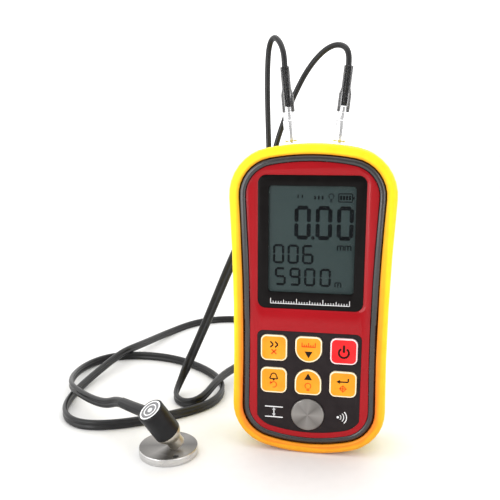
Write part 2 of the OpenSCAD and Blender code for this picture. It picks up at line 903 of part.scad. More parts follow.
rubber_boot();
front_case();
rear_case();
face_panel();
display_lens();
lcd_glass();
lcd_frame();
lcd_backlight();
keypad_panel();
key(0, "darkorange");  // key_speed
key(1, "darkorange");  // key_unit
key(2, "red");  // key_power
key(3, "darkorange");  // key_alarm
key(4, "darkorange");  // key_up
key(5, "darkorange");  // key_enter
key_mat();
calibration_block();
circuit_board();
board_chips();
buzzer();
battery_cells();
battery_contacts();
battery_cover();
cover_screw();
case_screws();
socket(-1);  // socket_left
socket(1);  // socket_right
plug(-1);  // plug_left
plug(1);  // plug_right
sleeve(-1);  // sleeve_left
sleeve(1);  // sleeve_right
lead_left();
lead_right();
cable_splitter();
twin_cable();
probe_strain_relief();
probe_housing();
probe_label();
probe_barrel();
delay_line();
test_disc();
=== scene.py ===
import math

import bmesh
import bpy
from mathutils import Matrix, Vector


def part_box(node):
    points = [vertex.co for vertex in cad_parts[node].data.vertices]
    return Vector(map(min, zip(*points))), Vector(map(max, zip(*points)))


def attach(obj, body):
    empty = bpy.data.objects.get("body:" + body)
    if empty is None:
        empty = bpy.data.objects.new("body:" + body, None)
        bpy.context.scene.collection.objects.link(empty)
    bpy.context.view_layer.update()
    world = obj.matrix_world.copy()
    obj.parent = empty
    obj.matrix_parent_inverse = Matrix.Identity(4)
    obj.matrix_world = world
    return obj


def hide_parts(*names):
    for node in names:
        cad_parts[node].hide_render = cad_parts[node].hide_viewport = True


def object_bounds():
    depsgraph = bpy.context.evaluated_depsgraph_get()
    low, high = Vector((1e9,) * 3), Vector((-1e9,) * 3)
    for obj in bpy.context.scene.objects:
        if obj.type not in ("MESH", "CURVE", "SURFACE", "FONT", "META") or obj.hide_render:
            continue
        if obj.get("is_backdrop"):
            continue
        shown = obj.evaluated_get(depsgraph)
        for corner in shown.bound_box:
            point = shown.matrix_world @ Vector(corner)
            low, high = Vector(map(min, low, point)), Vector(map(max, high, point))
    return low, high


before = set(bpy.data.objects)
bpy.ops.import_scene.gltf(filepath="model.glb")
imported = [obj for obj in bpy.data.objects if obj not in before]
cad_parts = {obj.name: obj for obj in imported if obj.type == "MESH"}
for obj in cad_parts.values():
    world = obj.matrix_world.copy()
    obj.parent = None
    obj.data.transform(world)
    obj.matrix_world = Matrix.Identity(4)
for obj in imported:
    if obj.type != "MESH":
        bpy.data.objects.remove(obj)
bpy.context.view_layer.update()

MM = 0.001
GAUGE = "gauge"

# Faces that carry prints, read from the frame
PLATE_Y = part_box("keypad_panel")[0].y
KEY_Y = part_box("key_speed")[0].y
GLASS_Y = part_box("lcd_glass")[0].y
LENS_LOW, LENS_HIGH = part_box("display_lens")
PRINT_T = 0.06 * MM


# Working on one piece at a time

def take_up(piece):
    bpy.ops.object.select_all(action="DESELECT")
    piece.select_set(True)
    bpy.context.view_layer.objects.active = piece


def open_up(piece, chosen="DESELECT"):
    take_up(piece)
    bpy.ops.object.mode_set(mode="EDIT")
    bpy.ops.mesh.select_all(action=chosen)


def close_up():
    bpy.ops.object.mode_set(mode="OBJECT")


def apply_modifier(piece, kind, **settings):
    take_up(piece)
    modifier = piece.modifiers.new(kind.lower(), kind)
    for name, value in settings.items():
        setattr(modifier, name, value)
    bpy.ops.object.modifier_apply(modifier=modifier.name)


def smooth(piece, angle=35):
    take_up(piece)
    bpy.ops.object.shade_smooth_by_angle(angle=math.radians(angle))


def round_edges(piece, width, segments=3, angle=35):
    apply_modifier(
        piece, "BEVEL", width=width * MM, segments=segments,
        limit_method="ANGLE", angle_limit=math.radians(angle),
    )
    smooth(piece, angle)


def bench_copy(node):
    """A merged copy of a CAD node, with its flat facets joined, ready to be shaped."""
    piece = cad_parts[node].copy()
    piece.data = piece.data.copy()
    piece.name = node + "_skin"
    for key in list(piece.keys()):
        del piece[key]
    piece.parent = None
    bpy.context.scene.collection.objects.link(piece)
    take_up(piece)
    bpy.ops.mesh.customdata_custom_splitnormals_clear()
    open_up(piece, "SELECT")
    bpy.ops.mesh.remove_doubles(threshold=0.002 * MM)
    bpy.ops.mesh.dissolve_limited(angle_limit=math.radians(1))
    close_up()
    piece.data.materials.clear()
    return piece


def mount(piece, body=GAUGE, replaced=()):
    """Puts a piece on its body and hides the nodes that it stands for."""
    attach(piece, body)
    if replaced:
        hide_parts(*replaced)
    return piece


def carry(piece, material, body=GAUGE, replaced=()):
    """Mounts a piece that has a single finish."""
    piece.data.materials.clear()
    piece.data.materials.append(material)
    return mount(piece, body, replaced)


def dress(node, material, edge, segments=3, angle=35):
    """A CAD node's copy with rounded edges and its own finish."""
    piece = bench_copy(node)
    round_edges(piece, edge, segments, angle)
    return carry(piece, material, replaced=(node,))


# Finishes

def shader_of(name):
    material = bpy.data.materials.new(name)
    material.use_nodes = True
    tree = material.node_tree
    return material, tree, tree.nodes["Principled BSDF"]


def object_place(tree, centre=(0, 0, 0), stretch=(1, 1, 1)):
    place = tree.nodes.new("ShaderNodeTexCoord")
    mapping = tree.nodes.new("ShaderNodeMapping")
    mapping.inputs["Scale"].default_value = stretch
    mapping.inputs["Location"].default_value = [-c * s for c, s in zip(centre, stretch)]
    tree.links.new(place.outputs["Object"], mapping.inputs["Vector"])
    return mapping.outputs["Vector"]


def noise(tree, place, scale, detail=3):
    node = tree.nodes.new("ShaderNodeTexNoise")
    node.inputs["Scale"].default_value = scale
    node.inputs["Detail"].default_value = detail
    tree.links.new(place, node.inputs["Vector"])
    return node.outputs["Fac"]


def ramp(tree, factor, stops):
    node = tree.nodes.new("ShaderNodeValToRGB")
    elements = node.color_ramp.elements
    while len(elements) < len(stops):
        elements.new(0.5)
    for element, (position, colour) in zip(elements, stops):
        element.position = position
        element.color = (*colour, 1)
    tree.links.new(factor, node.inputs["Fac"])
    return node.outputs["Color"]


def spread(tree, factor, low, high, start=0.3, end=0.7):
    node = tree.nodes.new("ShaderNodeMapRange")
    node.inputs["From Min"].default_value = start
    node.inputs["From Max"].default_value = end
    node.inputs["To Min"].default_value = low
    node.inputs["To Max"].default_value = high
    tree.links.new(factor, node.inputs["Value"])
    return node.outputs["Result"]


def raise_grain(tree, shader, height, depth):
    node = tree.nodes.new("ShaderNodeBump")
    node.inputs["Strength"].default_value = 1.0
    node.inputs["Distance"].default_value = depth * MM
    tree.links.new(height, node.inputs["Height"])
    tree.links.new(node.outputs["Normal"], shader.inputs["Normal"])


def set_sockets(shader, sockets):
    for name, value in sockets.items():
        shader.inputs[name].default_value = value


def moulded(
    name, dark, light, rough, grain, shine=0.3, mottle=180, fine=1400, stretch=(1, 1, 1), **sockets
):
    """A moulded, printed or painted finish: mottled tone, uneven gloss and a fine grain."""
    material, tree, shader = shader_of(name)
    place = object_place(tree, stretch=stretch)
    broad = noise(tree, place, mottle)
    tree.links.new(ramp(tree, broad, [(0.3, dark), (0.7, light)]), shader.inputs["Base Color"])
    tree.links.new(spread(tree, noise(tree, place, mottle * 2), *rough), shader.inputs["Roughness"])
    raise_grain(tree, shader, noise(tree, place, fine), grain)
    set_sockets(shader, {"Specular IOR Level": shine, **sockets})
    return material


# Angles at which the painted sheen of turned metal changes between light and dark
SHEEN_FAN_STOPS = (0, 0.13, 0.27, 0.38, 0.5, 0.63, 0.76, 0.88, 1)


def turned_metal(name, centre, tilt, axis, dark, light, rough, pitch, groove, **sockets):
    """Lathe-turned metal: fine rings about an axis and a painted sheen of light and dark tones, turning
    round it.
    """
    material, tree, shader = shader_of(name)
    place = object_place(tree, centre)
    rings = tree.nodes.new("ShaderNodeTexWave")
    rings.wave_type = "RINGS"
    rings.rings_direction = axis
    rings.inputs["Scale"].default_value = math.pi / 10 / (pitch * MM)
    rings.inputs["Distortion"].default_value = 1.5
    rings.inputs["Detail"].default_value = 3
    tree.links.new(place, rings.inputs["Vector"])
    face = tree.nodes.new("ShaderNodeMapping")
    face.inputs["Rotation"].default_value = tilt
    tree.links.new(place, face.inputs["Vector"])
    # Painted sheen: light and dark base colour by angle about the centre
    fan = tree.nodes.new("ShaderNodeTexGradient")
    fan.gradient_type = "RADIAL"
    tree.links.new(face.outputs["Vector"], fan.inputs["Vector"])
    tones = [(stop, dark if i % 2 else light) for i, stop in enumerate(SHEEN_FAN_STOPS)]
    tree.links.new(ramp(tree, fan.outputs["Fac"], tones), shader.inputs["Base Color"])
    tree.links.new(spread(tree, noise(tree, place, 900), *rough), shader.inputs["Roughness"])
    raise_grain(tree, shader, rings.outputs["Fac"], groove)
    tangent = tree.nodes.new("ShaderNodeTangent")
    tangent.direction_type = "RADIAL"
    tangent.axis = axis
    tree.links.new(tangent.outputs["Tangent"], shader.inputs["Tangent"])
    set_sockets(shader, {"Metallic": 1.0, "Anisotropic Rotation": 0.25, **sockets})
    return material


def rubber(name, front, side):
    """Rubber with painted shade, deeper in tone along the lip and underneath, and painted light, lighter on
    the rounded sides.
    """
    material, tree, shader = shader_of(name)
    place = object_place(tree)
    # Painted light and shade: the attribute mixes the shaded lip tones (A) with the lit side tones (B)
    turned = tree.nodes.new("ShaderNodeAttribute")
    turned.attribute_name = "painted_light"
    tone = tree.nodes.new("ShaderNodeMix")
    tone.data_type = "RGBA"
    tree.links.new(turned.outputs["Fac"], tone.inputs["Factor"])
    mottle = noise(tree, place, 160)
    tree.links.new(ramp(tree, mottle, [(0.3, front[0]), (0.7, front[1])]), tone.inputs["A"])
    tree.links.new(ramp(tree, mottle, [(0.3, side[0]), (0.7, side[1])]), tone.inputs["B"])
    tree.links.new(tone.outputs["Result"], shader.inputs["Base Color"])
    tree.links.new(spread(tree, noise(tree, place, 320), 0.40, 0.48), shader.inputs["Roughness"])
    raise_grain(tree, shader, noise(tree, place, 2600), 0.010)
    set_sockets(shader, {"Specular IOR Level": 0.25})
    return material


def clear_tube(name):
    """Clear tubing with painted edge shade: it darkens towards its left and right edges."""
    material = moulded(name, (0.05, 0.05, 0.055), (0.09, 0.09, 0.095), (0.16, 0.24), 0.001, mottle=120)
    tree = material.node_tree
    edge = tree.nodes.new("ShaderNodeAttribute")
    edge.attribute_name = "painted_edge_shade"
    # Painted edge shade: the dark tube grows more opaque where it looks to the left or right
    edge_shade_alpha = spread(tree, edge.outputs["Fac"], 0.05, 0.7, 0.35, 0.9)
    tree.links.new(edge_shade_alpha, tree.nodes["Principled BSDF"].inputs["Alpha"])
    return material


# Boot rubber: two tones of painted shade for the lip, two tones of painted light for the sides
YELLOW = rubber(
    "yellow_rubber",
    ((0.74, 0.15, 0.010), (0.78, 0.175, 0.014)),
    ((0.84, 0.64, 0.008), (0.88, 0.69, 0.014)),
)

# Moulded finishes: darker and lighter tone, range of roughness, grain in millimetres, shine
BLACK_GLOSS = moulded("black_gloss", (0.011, 0.010, 0.010), (0.017, 0.015, 0.016), (0.22, 0.28), 0.001, 0.8)
BLACK_MATTE = moulded(
    "black_matte", (0.014, 0.013, 0.014), (0.024, 0.023, 0.024), (0.50, 0.62), 0.03, fine=2200,
)
RED = moulded(
    "red_gloss", (0.32, 0.002, 0.006), (0.35, 0.003, 0.008), (0.18, 0.22), 0.0005, 0.26, mottle=60,
)
WINDOW = moulded("window_black", (0.004, 0.003, 0.003), (0.006, 0.005, 0.005), (0.12, 0.18), 0.001, 0.10)
PLATE = moulded(
    "keypad_black", (0.012, 0.008, 0.009), (0.018, 0.013, 0.014), (0.42, 0.52), 0.008, 0.16, fine=2400,
)
LCD = moulded("lcd_grey", (0.035, 0.053, 0.053), (0.042, 0.062, 0.062), (0.30, 0.40), 0.001, 0.1, mottle=40)
INK = moulded("lcd_ink", (0.003, 0.004, 0.005), (0.006, 0.008, 0.010), (0.40, 0.50), 0.001, 0.05)
WHITE_INK = moulded("white_print", (0.80, 0.80, 0.81), (0.90, 0.90, 0.91), (0.40, 0.50), 0.004)
BLACK_INK = moulded("black_print", (0.010, 0.006, 0.004), (0.018, 0.012, 0.008), (0.45, 0.55), 0.004, 0.1)
RED_INK = moulded("red_print", (0.78, 0.050, 0.008), (0.86, 0.075, 0.012), (0.45, 0.55), 0.004, 0.1)
ORANGE_KEY = moulded("orange_key", (0.90, 0.30, 0.012), (0.94, 0.345, 0.018), (0.34, 0.44), 0.006, 0.2)
CREAM_RIM = moulded("cream_rim", (0.88, 0.74, 0.50), (0.95, 0.82, 0.60), (0.38, 0.48), 0.006, 0.2)
RED_KEY = moulded("red_key", (0.78, 0.014, 0.018), (0.84, 0.022, 0.026), (0.30, 0.40), 0.006, 0.2)
PINK_RIM = moulded("pink_rim", (0.88, 0.64, 0.64), (0.95, 0.74, 0.74), (0.38, 0.48), 0.006, 0.2)
SILICONE = moulded("grey_silicone", (0.36, 0.36, 0.37), (0.42, 0.42, 0.43), (0.55, 0.65), 0.01)
BOARD = moulded("green_board", (0.010, 0.10, 0.030), (0.016, 0.14, 0.045), (0.35, 0.45), 0.01, mottle=500)
DIFFUSER = moulded("white_plastic", (0.72, 0.76, 0.72), (0.80, 0.84, 0.80), (0.45, 0.55), 0.006)
CABLE = moulded(
    "cable_black", (0.009, 0.009, 0.010), (0.015, 0.015, 0.016), (0.30, 0.38), 0.006, 0.32, fine=2600,
)
PROBE = moulded(
    "probe_black", (0.007, 0.007, 0.008), (0.012, 0.012, 0.013), (0.36, 0.46), 0.02, 0.2, fine=2400,
)
SHRINK = moulded(
    "shrink_black", (0.008, 0.008, 0.009), (0.014, 0.014, 0.015), (0.36, 0.42), 0.003, 0.14, mottle=120,
)
LABEL = moulded("label_silver", (0.78, 0.78, 0.79), (0.88, 0.88, 0.89), (0.32, 0.42), 0.004)
LABEL_GREY = moulded("label_grey", (0.11, 0.11, 0.115), (0.20, 0.20, 0.21), (0.36, 0.46), 0.004, mottle=700)
RESIN = moulded("delay_resin", (0.42, 0.28, 0.12), (0.52, 0.36, 0.17), (0.25, 0.35), 0.004)
CHROME = moulded(
    "chrome", (0.90, 0.90, 0.91), (0.95, 0.95, 0.96), (0.20, 0.28), 0.002, 0.5,
    stretch=(1, 1, 0.1), Metallic=1.0,
)
# Painted light: a lighter steel for the disc's outer wall, standing in for the bright floor that it
# reflects
DISC_WALL_LIT = moulded(
    "disc_wall_lit", (0.52, 0.51, 0.50), (0.66, 0.65, 0.64), (0.26, 0.34), 0.004, 0.5,
    stretch=(1, 1, 6), Metallic=1.0,
)
ZINC = moulded("screw_zinc", (0.50, 0.50, 0.51), (0.62, 0.62, 0.63), (0.26, 0.36), 0.006, 0.5, Metallic=1.0)
CELL = moulded("cell_steel", (0.16, 0.18, 0.22), (0.22, 0.24, 0.28), (0.30, 0.40), 0.004, 0.5, Metallic=0.6)
BARREL = moulded(
    "barrel_steel", (0.44, 0.41, 0.35), (0.54, 0.505, 0.44), (0.36, 0.44), 0.004, 0.5, Metallic=1.0,
)
CLEAR = clear_tube("clear_sleeve")
PANE = moulded(
    "clear_pane", (0.010, 0.010, 0.010), (0.016, 0.016, 0.016), (0.05, 0.09), 0.001, 0.2, Alpha=0.05,
)

# Turned steel of the two discs, each with a painted sheen turned by its tilt
BLOCK_LOW, BLOCK_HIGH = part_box("calibration_block")
BLOCK_STEEL = turned_metal(
    "brushed_steel", (BLOCK_LOW + BLOCK_HIGH) / 2, (math.pi / 2, 0, 0), "Y", (0.19, 0.18, 0.172),
    (0.34, 0.328, 0.315), (0.34, 0.42), 0.16, 0.002, Anisotropic=0.8,
)
DISC_LOW, DISC_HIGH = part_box("test_disc")
DISC_CENTRE = (DISC_LOW + DISC_HIGH) / 2
DISC_STEEL = turned_metal(
    "turned_steel", DISC_CENTRE, (0, 0, 0.6), "Z", (0.13, 0.125, 0.12),
    (0.27, 0.26, 0.25), (0.34, 0.42), 0.2, 0.002, Anisotropic=0.8,
)

# How far from the case the boot's lip keeps its painted shade
LIP_SHADE_FADE = 4.2 * MM


def paint_boot_light_and_shade(boot):
    """Paints light and shade on each point by its distance from the case, its height and how far it looks
    up: shade along the lip and low down, light higher up and on faces that look up.
    """
    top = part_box("rubber_boot")[1].z
    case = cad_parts["front_case"]
    painted_light = boot.data.attributes.new("painted_light", "FLOAT", "POINT")
    for vertex in boot.data.vertices:
        beside = case.closest_point_on_mesh(vertex.co)[1]
        away = (vertex.co - beside).length / LIP_SHADE_FADE
        height = vertex.co.z / top - 0.5
        painted_light.data[vertex.index].value = away + vertex.normal.z / 2 + height


def mark_edges(sleeve):
    """Marks each point of a sleeve by how far it looks to the left or right, for the painted edge shade of
    the clear tubing.
    """
    painted_edge_shade = sleeve.data.attributes.new("painted_edge_shade", "FLOAT", "POINT")
    for vertex in sleeve.data.vertices:
        painted_edge_shade.data[vertex.index].value = abs(vertex.normal.x)


def paint_wall_light(disc):
    """Gives the disc's outer wall a lighter copy of the disc's steel, as painted light."""
    disc.data.materials.append(DISC_WALL_LIT)
    radius = (DISC_HIGH.x - DISC_LOW.x) / 2
    for face in disc.data.polygons:
        outer = (face.center - DISC_CENTRE).to_2d().length > 0.9 * radius
        face.material_index = 1 if outer and face.normal.z < 0.9 else 0


# Case and boot
# The boot gets painted light and shade over its yellow rubber
paint_boot_light_and_shade(dress("rubber_boot", YELLOW, 0.7, 4, 18))
dress("front_case", BLACK_GLOSS, 0.18, 3, 40)
dress("rear_case", BLACK_MATTE, 0.3, 3, 40)
dress("battery_cover", BLACK_MATTE, 0.15)
dress("face_panel", RED, 0.55, 4)
dress("keypad_panel", PLATE, 0.12)
dress("calibration_block", BLOCK_STEEL, 0.2, 3, 30)
for screw in ("cover_screw", "case_screws"):
    dress(screw, ZINC, 0.2)

# Inner pieces and the display's glass
for node, slot, material in (
    ("lcd_frame", "black_matte", BLACK_MATTE),
    ("lcd_backlight", "white_plastic", DIFFUSER),
    ("key_mat", "grey_silicone", SILICONE),
    ("circuit_board", "green_board", BOARD),
    ("board_chips", "black_matte", BLACK_MATTE),
    ("buzzer", "black_matte", BLACK_MATTE),
    ("battery_cells", "cell_steel", CELL),
    ("battery_contacts", "chrome", ZINC),
    ("socket_left", "chrome", ZINC),
    ("socket_right", "chrome", ZINC),
    ("lcd_glass", "lcd", LCD),
):
    dress(node, material, 0.1)

# Plugs, probe and test disc
for side in ("left", "right"):
    dress("plug_" + side, CHROME, 0.15)
    mark_edges(dress("sleeve_" + side, CLEAR, 0.1, 2))
dress("cable_splitter", CABLE, 0.4)
dress("probe_strain_relief", SHRINK, 0.5)
dress("probe_housing", PROBE, 0.3)
dress("probe_barrel", BARREL, 0.15)
dress("delay_line", RESIN, 0.1)
# The disc's outer wall gets painted light
paint_wall_light(dress("test_disc", DISC_STEEL, 0.25))

# Probe label: a bright rim, ring and spot on a grey field, by width and the finish inside it
LABEL_RINGS = ((0.75, 1), (1.5, 0), (0.55, 1), (1.7, 0))


def top_face(piece):
    """The upper of the two large faces of a thin disc that is open for editing."""
    faces = bmesh.from_edit_mesh(piece.data).faces
    return max(faces, key=lambda face: face.calc_area() + face.normal.z * 1e-6)


def ringed_label():
    label = bench_copy("probe_label")
    for material in (LABEL, LABEL_GREY):
        label.data.materials.append(material)
    open_up(label)
    bpy.ops.mesh.select_mode(type="FACE")
    top_face(label).select_set(True)
    for width, finish in LABEL_RINGS:
        bpy.ops.mesh.inset(thickness=width * MM, depth=0)
        label.active_material_index = finish
        bpy.ops.object.material_slot_assign()
    close_up()
    smooth(label, 30)
    mount(label, replaced=("probe_label",))


ringed_label()


# Prints: thin strokes, discs and triangles on a face that looks towards -Y

def start_print(name):
    bpy.ops.object.select_all(action="DESELECT")
    bpy.ops.mesh.primitive_plane_add(size=MM)
    sheet = bpy.context.object
    sheet.name = name
    open_up(sheet, "SELECT")
    bpy.ops.mesh.delete(type="VERT")
    return sheet


def lift(face_y):
    return face_y - PRINT_T / 3


def stroke(face_y, start, end, width):
    """A bar with pointed ends between two points, in millimetres."""
    a = Vector((start[0] * MM, lift(face_y), start[1] * MM))
    b = Vector((end[0] * MM, lift(face_y), end[1] * MM))
    run = b - a
    radius = width * MM / math.sqrt(3)
    bpy.ops.mesh.primitive_cylinder_add(
        vertices=6, radius=radius, depth=PRINT_T, location=(a + b) / 2,
        rotation=(math.pi / 2, math.atan2(run.x, run.z), 0),
    )
    pull = run.normalized() * max(run.length / 2 - radius, 0)
    mesh = bpy.context.edit_object.data
    shape = bmesh.from_edit_mesh(mesh)
    for vertex in shape.verts:
        if vertex.select:
            vertex.co += pull if (vertex.co - (a + b) / 2).dot(run) > 0 else -pull
    bmesh.update_edit_mesh(mesh)


def strokes(face_y, points, width):
    for start, end in zip(points, points[1:]):
        stroke(face_y, start, end, width)


def upright(face_y, x, low, high, width):
    stroke(face_y, (x, low), (x, high), width)


def arc_points(x, z, radius, start, end, count):
    turns = [math.radians(start + (end - start) * i / count) for i in range(count + 1)]
    return [(x + radius * math.sin(t), z + radius * math.cos(t)) for t in turns]


def solid_mark(face_y, x, z, radius, corners=24, turn=0):
    bpy.ops.mesh.primitive_cylinder_add(
        vertices=corners, radius=radius * MM, depth=PRINT_T, location=(x * MM, lift(face_y), z * MM),
        rotation=(math.pi / 2, math.radians(turn), 0),
    )


def end_print(sheet, material, body=GAUGE):
    close_up()
    carry(sheet, material, body)


SEGMENTS = {"0": "abcdef", "5": "acdfg", "6": "acdefg", "9": "abcdfg"}


def digit(face_y, character, x, z, width, height, bar):
    """Seven-segment figure with its lower left corner at x, z."""
    left, right = x + bar / 2, x + width - bar / 2
    low, middle, high = z + bar / 2, z + height / 2, z + height - bar / 2
    gap = bar * 0.12
    ends = {
        "a": ((left + gap, high), (right - gap, high)),
        "b": ((right, high - gap), (right, middle + gap)),
        "c": ((right, middle - gap), (right, low + gap)),
        "d": ((left + gap, low), (right - gap, low)),
        "e": ((left, middle - gap), (left, low + gap)),
        "f": ((left, high - gap), (left, middle + gap)),
        "g": ((left + gap, middle), (right - gap, middle)),
    }
    for segment in SEGMENTS[character]:
        stroke(face_y, *ends[segment], bar)


# Display: rows of figures, each with its left edges, foot, width, height and bar in millimetres
FIGURE_ROWS = (
    ("000", (-8.2, 2.1, 12.3), 111.4, 8.0, 16.6, 2.0),
    ("006", (-18.6, -11.4, -4.2), 99.1, 5.6, 9.7, 1.15),
    ("5900", (-17.6, -10.3, -3.0, 4.6), 88.0, 5.5, 9.2, 1.15),
)
DECIMAL_POINT = (0.95, 112.3, 0.9)
reading = start_print("lcd_figures")
for characters, lefts, foot, width, height, bar in FIGURE_ROWS:
    for character, left in zip(characters, lefts):
        digit(GLASS_Y, character, left, foot, width, height, bar)
solid_mark(GLASS_Y, *DECIMAL_POINT, corners=8)
end_print(reading, INK)


# Display: small signs and unit letters

def battery_sign(left, right, low, high):
    strokes(GLASS_Y, [(left, low), (right, low), (right, high), (left, high), (left, low)], 0.5)
    upright(GLASS_Y, right + 0.6, low + 1.2, low + 2.7, 0.6)
    for i in range(4):
        upright(GLASS_Y, left + 1.1 + 1.4 * i, low + 0.8, high - 0.8, 1.0)


def lamp_sign(x, z):
    strokes(GLASS_Y, arc_points(x, z, 1.25, -140, 140, 10), 0.5)
    for drop in (1.4, 2.0, 2.6):
        stroke(GLASS_Y, (x - 0.6, z - drop), (x + 0.6, z - drop), 0.4)


def letter_m(left, low):
    """A bar across the top of three legs."""
    top = low + 2.4
    stroke(GLASS_Y, (left, top), (left + 2.8, top), 0.55)
    for i in range(3):
        upright(GLASS_Y, left + 1.4 * i, low, top, 0.6)


signs = start_print("lcd_signs")
battery_sign(12.9, 19.4, 130.1, 134.0)
lamp_sign(9.4, 132.7)
for x in (-6.6, -4.5):
    upright(GLASS_Y, x, 131.6, 133.4, 0.6)
for x in (1.6, 3.4, 5.2):
    upright(GLASS_Y, x, 131.0, 133.0, 0.9)
for left, low in ((12.9, 106.3), (16.5, 106.3), (12.2, 87.9)):
    letter_m(left, low)
end_print(signs, INK)

# Lens: a black frame with a clear pane over the glass
PANE_X = 0.2 * MM
PANE_Z = 111.2 * MM
PANE_W = 42 * MM
PANE_H = 52.8 * MM
PANE_R = 1.6 * MM
PANE_T = 0.5 * MM
PANE_GAP = 0.02 * MM
OPENING_DEPTH = 6 * MM


def pane_block(name, depth, shrink):
    bpy.ops.object.select_all(action="DESELECT")
    bpy.ops.mesh.primitive_cube_add(
        size=1, location=(PANE_X, (LENS_LOW.y + LENS_HIGH.y) / 2, PANE_Z),
        scale=(PANE_W - 2 * shrink, depth, PANE_H - 2 * shrink),
    )
    block = bpy.context.object
    block.name = name
    bpy.ops.object.transform_apply(location=True, rotation=True, scale=True)
    open_up(block)
    bpy.ops.mesh.select_mode(type="EDGE")
    shape = bmesh.from_edit_mesh(block.data)
    for edge in shape.edges:
        a, b = (v.co for v in edge.verts)
        edge.select_set(abs(a.y - b.y) > depth / 2)
    bmesh.update_edit_mesh(block.data)
    bpy.ops.mesh.bevel(offset=PANE_R, segments=6, affect="EDGES")
    close_up()
    return block


lens = bench_copy("display_lens")
opening = pane_block("opening", OPENING_DEPTH, 0)
apply_modifier(lens, "BOOLEAN", operation="DIFFERENCE", solver="EXACT", object=opening)
bpy.data.objects.remove(opening)
round_edges(lens, 0.15)
carry(lens, WINDOW, replaced=("display_lens",))

pane = pane_block("lens_pane", PANE_T, PANE_GAP)
round_edges(pane, 0.05, 2)
carry(pane, PANE)

# Scale of ticks on the lens, in millimetres
SCALE_LEFT = -19.5
SCALE_FOOT = 79.0
SCALE_OVERRUN = 0.1
TICKS = 30
TICK_STEP = 1.3
TICK_BAR = 0.28
scale = start_print("lens_scale")
for i in range(TICKS + 1):
    tall = 2.6 if i % 10 == 0 else 1.9 if i % 5 == 0 else 1.2
    upright(LENS_LOW.y, SCALE_LEFT + TICK_STEP * i, SCALE_FOOT, SCALE_FOOT + tall, TICK_BAR)
scale_half = SCALE_OVERRUN - SCALE_LEFT
stroke(LENS_LOW.y, (-scale_half, SCALE_FOOT), (scale_half, SCALE_FOOT), TICK_BAR)
end_print(scale, WHITE_INK)


# White marks on the keypad plate

def thickness_sign(x, low, high):
    """Two lines with a double arrow between them."""
    for z in (low, high):
        stroke(PLATE_Y, (x - 4.7, z), (x + 4.7, z), 0.5)
    upright(PLATE_Y, x, low + 1.0, high - 1.0, 0.45)
    solid_mark(PLATE_Y, x, high - 1.3, 0.95, 3)
    solid_mark(PLATE_Y, x, low + 1.3, 0.95, 3, 180)


def sound_sign(x, z):
    """A spot with three waves."""
    for radius in (1.6, 3.0, 4.4):
        strokes(PLATE_Y, arc_points(x, z, radius, 45, 135, 8), 0.5)
    solid_mark(PLATE_Y, x, z, 0.6)


plate_marks = start_print("plate_marks")
thickness_sign(-17.3, 18.4, 24.0)
sound_sign(15.4, 20.8)
end_print(plate_marks, WHITE_INK)

# Keys: coloured centres inside pale rims
RIM_W = 0.36 * MM
RIM_SLOPE = 0.12 * MM
CENTRE_SINK = 0.08 * MM
CAP_Y = KEY_Y + CENTRE_SINK


def key_cap(node, rim, centre):
    """A key with a pale rim round a coloured centre that lies a little deeper."""
    cap = bench_copy(node)
    round_edges(cap, 0.3, 3, 50)
    cap.data.materials.append(rim)
    cap.data.materials.append(centre)
    open_up(cap)
    bpy.ops.mesh.select_mode(type="FACE")
    shape = bmesh.from_edit_mesh(cap.data)
    for face in shape.faces:
        face.select_set(face.normal.y < -0.999 and face.calc_center_median().y < KEY_Y + 0.01 * MM)
    bmesh.update_edit_mesh(cap.data)
    bpy.ops.mesh.inset(thickness=RIM_W, depth=0)
    cap.active_material_index = 1
    bpy.ops.object.material_slot_assign()
    bpy.ops.mesh.inset(thickness=RIM_SLOPE, depth=-CENTRE_SINK)
    close_up()
    smooth(cap)
    mount(cap, "body_" + node, (node,))


for node in ("key_speed", "key_unit", "key_alarm", "key_up", "key_enter"):
    key_cap(node, CREAM_RIM, ORANGE_KEY)
key_cap("key_power", PINK_RIM, RED_KEY)


def key_print(node, name, material, draw):
    """A sign drawn about the middle of a key, riding with it."""
    low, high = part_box(node)
    x, z = (low.x + high.x) / 2 / MM, (low.z + high.z) / 2 / MM
    sheet = start_print(node + "_" + name)
    draw(x, z)
    end_print(sheet, material, "body_" + node)


def double_chevron(x, z):
    for shift in (-1.9, 0.5):
        strokes(CAP_Y, [(x + shift, z + 3.4), (x + shift + 1.6, z + 1.8), (x + shift, z + 0.2)], 0.75)


def cross(x, z):
    for turn in (-1, 1):
        stroke(CAP_Y, (x - 1.3, z - 2.0 - turn * 1.3), (x + 1.3, z - 2.0 + turn * 1.3), 0.6)


def ruler(x, z):
    foot = z + 1.4
    stroke(CAP_Y, (x - 3.6, foot), (x + 3.6, foot), 0.5)
    for i in range(7):
        tall = 2.2 if i % 3 == 0 else 1.2
        upright(CAP_Y, x - 3.3 + 1.1 * i, foot, foot + tall, 0.45)


def down_triangle(x, z):
    solid_mark(CAP_Y, x, z - 2.2, 2.3, 3, 180)


def up_triangle(x, z):
    solid_mark(CAP_Y, x, z + 2.5, 2.3, 3)


def power_sign(x, z):
    strokes(CAP_Y, arc_points(x, z - 0.7, 2.5, 35, 325, 16), 1.0)
    upright(CAP_Y, x, z - 0.6, z + 3.4, 1.1)


def bell(x, z):
    strokes(CAP_Y, arc_points(x, z + 2.4, 1.4, -90, 90, 8), 0.6)
    strokes(CAP_Y, [(x - 1.4, z + 2.4), (x - 2.1, z + 0.8), (x + 2.1, z + 0.8), (x + 1.4, z + 2.4)], 0.6)
    solid_mark(CAP_Y, x, z + 0.3, 0.5, 12)


def turn_back(x, z):
    strokes(CAP_Y, arc_points(x, z - 2.3, 1.5, -60, 200, 12), 0.5)
    solid_mark(CAP_Y, x - 1.5, z - 1.4, 0.9, 3, -30)


